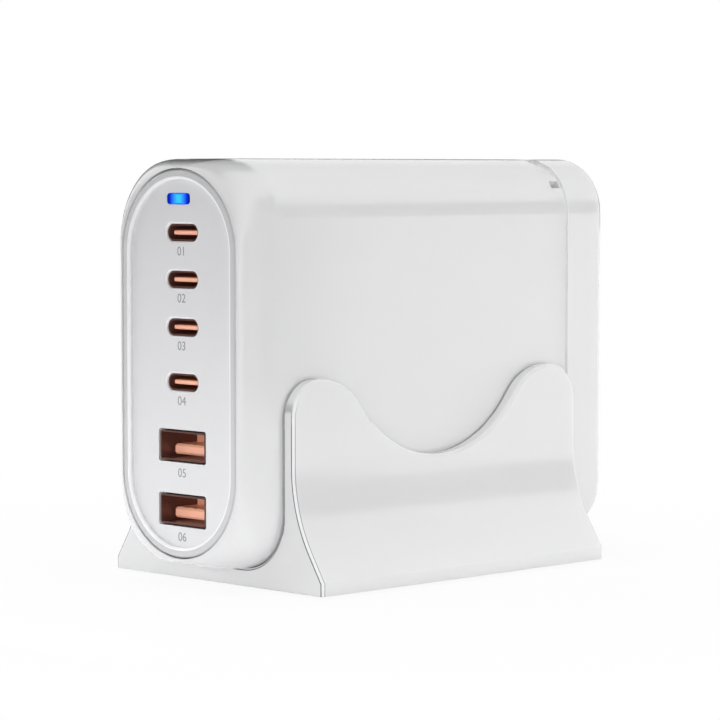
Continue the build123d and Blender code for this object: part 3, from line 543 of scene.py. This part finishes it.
def drawn_lines_group():
    group, given, made = new_group(
        "drawn_lines",
        [("Colour", COLOUR, (0.6, 0.6, 0.6, 1)), ("Line Colour", COLOUR, (0.5, 0.5, 0.5, 1)),
         ("Roughness Low", NUMBER, 0.25), ("Roughness High", NUMBER, 0.4),
         ("Lines", "NodeSocketVector", (3000, 100, 3000))],
        [("Colour", COLOUR), ("Roughness", NUMBER), ("Height", NUMBER)])
    place = group.nodes.new("ShaderNodeTexCoord").outputs["Object"]
    squeeze = group.nodes.new("ShaderNodeVectorMath")
    squeeze.operation = "MULTIPLY"
    group.links.new(place, squeeze.inputs[0])
    group.links.new(given.outputs["Lines"], squeeze.inputs[1])
    lines = add_noise(group, squeeze.outputs["Vector"], 1, LINE_DETAIL)
    group.links.new(add_mix(group, lines, given.outputs["Colour"], given.outputs["Line Colour"]),
                    made.inputs["Colour"])
    group.links.new(add_range(group, lines, given.outputs["Roughness Low"], given.outputs["Roughness High"]),
                    made.inputs["Roughness"])
    group.links.new(lines, made.inputs["Height"])
    return group


drawn_lines = drawn_lines_group()


def drawn_metal(name, colour, roughness, lines=(3000, 120, 3000), relief=0.002 * MM, metallic=1):
    material, tree, shader = new_finish(name)
    skin = place_group(tree, drawn_lines, Colour=(*colour, 1), Line_Colour=shade(colour, 0.85),
                       Roughness_Low=0.8 * roughness, Roughness_High=1.3 * roughness, Lines=lines)
    shader.inputs["Metallic"].default_value = metallic
    tree.links.new(skin.outputs["Colour"], shader.inputs["Base Color"])
    tree.links.new(skin.outputs["Roughness"], shader.inputs["Roughness"])
    add_bump(tree, shader, skin.outputs["Height"], relief)
    return material


finishes.update({
    # The socket sheet is coloured a dark brown that paints the shade deep inside the sockets.
    "socket_steel": drawn_metal("socket_sheet_painted_shade", (0.16, 0.075, 0.06), 0.35, metallic=0.5),
    "contact_brass": drawn_metal("contact_plating", (0.75, 0.5, 0.24), 0.3),
    "screw_steel": drawn_metal("screw_steel", (0.58, 0.58, 0.6), 0.3, (900, 900, 900)),
    "pin_steel": drawn_metal("inlet_pin_plating", (0.72, 0.71, 0.67), 0.2),
    "cooling_aluminium": drawn_metal("cooling_aluminium", (0.7, 0.71, 0.73), 0.38),
    "can_metal": drawn_metal("can_aluminium", (0.74, 0.75, 0.77), 0.3, (150, 2500, 2500)),
})
print(len(finishes), "finishes so far")

# %% [markdown]
# The transformer is wrapped in tape and the choke in enamelled wire. Both are rows of turns,
# which a Wave texture gives: its bands colour the surface and lift it through Bump.

# %% Wound finishes


def wound(name, colour, gap_colour, axis, turns_per_metre, metallic, relief):
    material, tree, shader = new_finish(name)
    place = tree.nodes.new("ShaderNodeTexCoord").outputs["Object"]
    wave = tree.nodes.new("ShaderNodeTexWave")
    wave.bands_direction = axis
    wave.inputs["Scale"].default_value = turns_per_metre / math.tau * 2
    wave.inputs["Distortion"].default_value = 0.3
    tree.links.new(place, wave.inputs["Vector"])
    tree.links.new(add_mix(tree, wave.outputs["Fac"], gap_colour, colour), shader.inputs["Base Color"])
    shader.inputs["Roughness"].default_value = 0.35
    shader.inputs["Metallic"].default_value = metallic
    add_bump(tree, shader, wave.outputs["Fac"], relief)
    return material


finishes.update({
    "winding_copper": wound("choke_wire", (0.62, 0.25, 0.1), (0.25, 0.08, 0.03), "Y", 900, 0.8, 0.2 * MM),
    "tape_yellow": wound("winding_tape", (0.82, 0.63, 0.1), (0.7, 0.5, 0.07), "X", 250, 0, 0.03 * MM),
})
print("wound finishes:", [finishes[name].name for name in ("winding_copper", "tape_yellow")])

# %% [markdown]
# A circuit board is a green lacquer over copper tracks. A Brick texture, with its mortar as the
# gaps between tracks, is enough for surfaces that stay inside the closed case.

# %% Circuit boards
TRACK_WIDTH = 1.2 * MM


def board_finish():
    material, tree, shader = new_finish("board_lacquer")
    place = tree.nodes.new("ShaderNodeTexCoord").outputs["Object"]
    turned = tree.nodes.new("ShaderNodeMapping")
    turned.inputs["Rotation"].default_value = (math.radians(90), 0, math.radians(90))
    tree.links.new(place, turned.inputs["Vector"])
    tracks = tree.nodes.new("ShaderNodeTexBrick")
    tracks.inputs["Color1"].default_value = (0.03, 0.2, 0.08, 1)
    tracks.inputs["Color2"].default_value = (0.04, 0.26, 0.1, 1)
    tracks.inputs["Mortar"].default_value = (0.015, 0.1, 0.045, 1)
    tracks.inputs["Scale"].default_value = 1
    tracks.inputs["Mortar Size"].default_value = TRACK_WIDTH / 8
    tracks.inputs["Brick Width"].default_value = 8 * TRACK_WIDTH
    tracks.inputs["Row Height"].default_value = TRACK_WIDTH
    tree.links.new(turned.outputs["Vector"], tracks.inputs["Vector"])
    tree.links.new(tracks.outputs["Color"], shader.inputs["Base Color"])
    shader.inputs["Roughness"].default_value = 0.3
    return material


finishes["board_green"] = board_finish()
print("board tracks", round(1000 * TRACK_WIDTH, 2), "mm wide")

# %% [markdown]
# Of the two mains wires, one is brown and one is blue. They share a node, so the colour is
# chosen by the side of the charger that the surface lies on, with a trace of moulding grain.

# %% Mains wires


def wire_finish():
    material, tree, shader = new_finish("wire_insulation")
    place = tree.nodes.new("ShaderNodeTexCoord").outputs["Object"]
    split = tree.nodes.new("ShaderNodeSeparateXYZ")
    tree.links.new(place, split.inputs["Vector"])
    right = add_math(tree, "GREATER_THAN", split.outputs["X"], 0)
    tree.links.new(add_mix(tree, right, (0.22, 0.09, 0.04), (0.05, 0.16, 0.42)), shader.inputs["Base Color"])
    grain = add_noise(tree, place, 1500, 2)
    tree.links.new(add_range(tree, grain, 0.35, 0.5), shader.inputs["Roughness"])
    return material


finishes["wire_brown"] = wire_finish()
print("wire finish ready")

# %% [markdown]
# The indicator is a clear blue light pipe that glows: bright cyan in the middle and deep blue
# at its rim, where less light reaches the edge. Vector Math finds how far a point lies inside
# the rim of the lens, with the ends counted as nearer, because the lamp behind is short. A
# Color Ramp over that distance gives the colour of the glow.

# %% Indicator lens
LENS_STOPS = (
    (0.1, (0.001, 0.006, 0.2)),
    (0.22, (0.002, 0.024, 0.65)),
    (0.36, (0.03, 0.2, 1.0)),
    (0.55, (0.04, 0.6, 1.0)),
)
END_SHARE = 0.25
LENS_BASE = (0.0, 0.01, 0.08)
LENS_STRENGTH = 1.0


def lens_finish():
    material, tree, shader = new_finish("lens_blue_glow")
    low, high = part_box("light_pipe")
    half = (high - low) / 2
    place = tree.nodes.new("ShaderNodeTexCoord").outputs["Object"]
    from_middle = tree.nodes.new("ShaderNodeVectorMath")
    from_middle.operation = "SUBTRACT"
    from_middle.inputs[1].default_value = (low + high) / 2
    tree.links.new(place, from_middle.inputs[0])
    away = tree.nodes.new("ShaderNodeVectorMath")
    away.operation = "ABSOLUTE"
    tree.links.new(from_middle.outputs["Vector"], away.inputs[0])
    inside = tree.nodes.new("ShaderNodeVectorMath")
    inside.operation = "SUBTRACT"
    inside.inputs[0].default_value = half
    tree.links.new(away.outputs["Vector"], inside.inputs[1])
    split = tree.nodes.new("ShaderNodeSeparateXYZ")
    tree.links.new(inside.outputs["Vector"], split.inputs["Vector"])
    ends = add_math(tree, "MULTIPLY", split.outputs["X"], END_SHARE)
    rim = add_math(tree, "MINIMUM", ends, split.outputs["Z"])
    share = add_math(tree, "DIVIDE", rim, half.z)
    ramp = tree.nodes.new("ShaderNodeValToRGB")
    stops = ramp.color_ramp.elements
    while len(stops) < len(LENS_STOPS):
        stops.new(0.5)
    for stop, (position, colour) in zip(stops, LENS_STOPS):
        stop.position = position
        stop.color = (*colour, 1)
    tree.links.new(share, ramp.inputs["Fac"])
    tree.links.new(ramp.outputs["Color"], shader.inputs["Emission Color"])
    shader.inputs["Emission Strength"].default_value = LENS_STRENGTH
    shader.inputs["Base Color"].default_value = (*LENS_BASE, 1)
    shader.inputs["Roughness"].default_value = 0.15
    return material


finishes["lens_blue"] = lens_finish()
print("lens glows with strength", LENS_STRENGTH)

# %% [markdown]
# The record names a finish slot for every solid. One loop gives each solid its finish, and it
# stops at once if a slot has none, so that no solid keeps the plain grey of the import.

# %% Give every solid its finish
for part in frame["record"]["subparts"]:
    solid = solids[part["node"]]
    solid.data.materials.clear()
    solid.data.materials.append(finishes[part["material_slot"]])

# %% [markdown]
# Small grey numbers are printed under the sockets. Text objects become thin meshes that lie on
# the recessed face: a font gives clean outlines, and a mesh is what a model file can carry.

# %% Printed port numbers
NUMBER_HEIGHT = 1.8 * MM
NUMBER_DROP_C = 3.65 * MM
NUMBER_DROP_A = 5.25 * MM
INK_THICKNESS = 0.02 * MM
CAP_SHARE = 0.73
face_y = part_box("light_pipe")[0].y


def printed_number(label, z):
    text = bpy.data.curves.new("number_" + label, "FONT")
    text.body = label
    text.size = NUMBER_HEIGHT / CAP_SHARE
    text.align_x = "CENTER"
    text.align_y = "CENTER"
    text.extrude = INK_THICKNESS
    outline = bpy.data.objects.new("outline_" + label, text)
    mesh = bpy.data.meshes.new_from_object(outline)
    bpy.data.objects.remove(outline)
    mesh.materials.append(finishes["print_grey"])
    number = bpy.data.objects.new("port_number_" + label, mesh)
    number.rotation_euler = (math.radians(90), 0, 0)
    number.location = (0, face_y, z)
    bpy.context.scene.collection.objects.link(number)
    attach(number, "root")
    return number


ports = [f"usb_c_{index}" for index in (1, 2, 3, 4)] + [f"usb_a_{index}" for index in (1, 2)]
for index, port in enumerate(ports, start=1):
    low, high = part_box(port + "_shell")
    drop = NUMBER_DROP_C if port.startswith("usb_c") else NUMBER_DROP_A
    number = printed_number(f"{index:02}", (low.z + high.z) / 2 - drop)
    print(number.name, "at height", round(1000 * number.location.z, 1), "mm")
